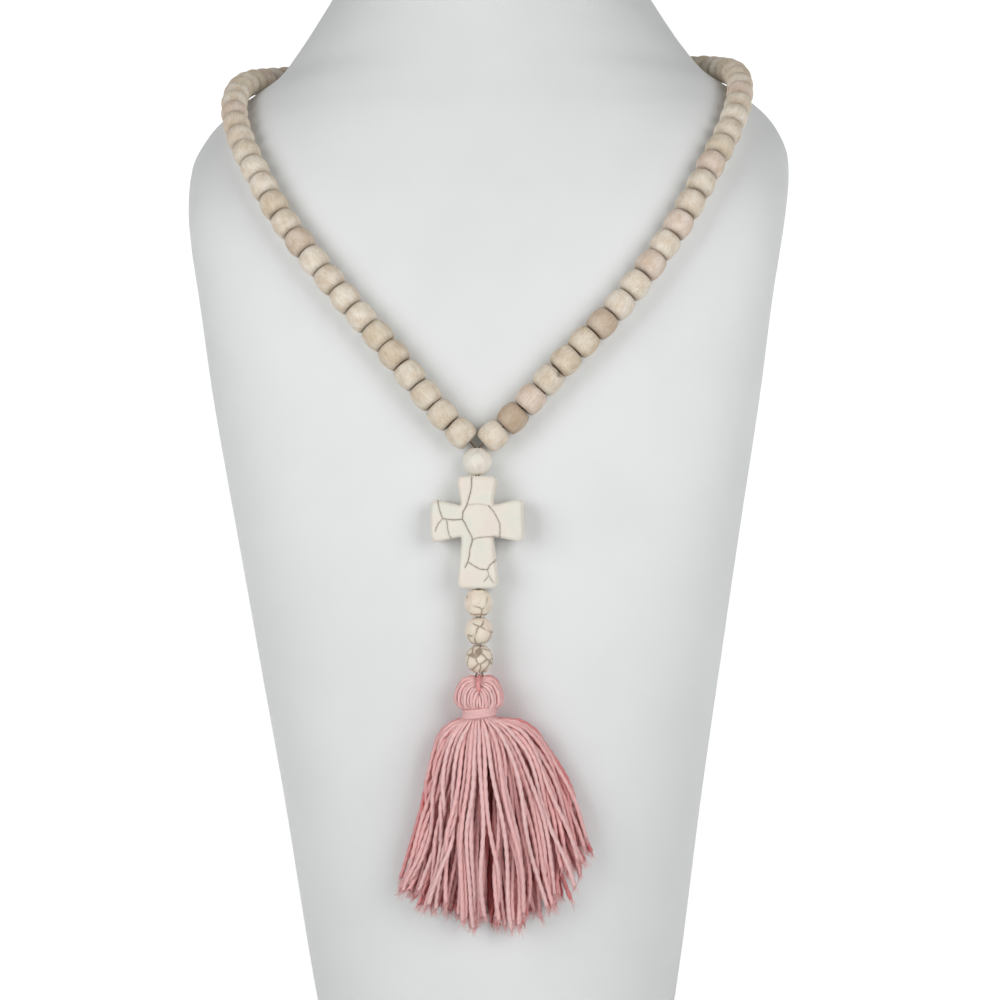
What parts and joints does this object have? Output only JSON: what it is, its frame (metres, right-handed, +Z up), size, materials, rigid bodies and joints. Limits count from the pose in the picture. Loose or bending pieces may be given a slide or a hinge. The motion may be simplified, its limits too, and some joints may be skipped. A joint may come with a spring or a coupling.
{
  "type": "tassel necklace on a neck bust",
  "caption": "Long loop of round wooden beads with a stone cross, stone beads and a yarn tassel, laid over a plain white neck bust.",
  "frame": {"origin": "middle of the bust's flat base", "axes": "+Z up, the front of the bust faces -Y, +X to the right as seen from the front"},
  "size_m": [0.2294, 0.1715, 0.46],
  "materials": {
    "bust": "moulded, painted matt white",
    "wood_bead": "pale turned wood, waxed matt",
    "thread": "twisted waxed cotton",
    "stone": "tumbled cream howlite with grey-brown veins, satin",
    "yarn": "two-ply pink cotton yarn",
    "loop_yarn": "two-ply deep pink cotton yarn"
  },
  "bodies": {
    "root": {"display_bust": "bust", "bead_string_left": "wood_bead", "bead_string_right": "wood_bead", "thread": "thread", "junction_bead": "stone", "cross": "stone", "drop_bead_1": "stone", "drop_bead_2": "stone", "drop_bead_3": "stone", "hanging_loop": "loop_yarn", "tassel": "yarn", "tassel_binding": "yarn"}
  },
  "joints": []
}
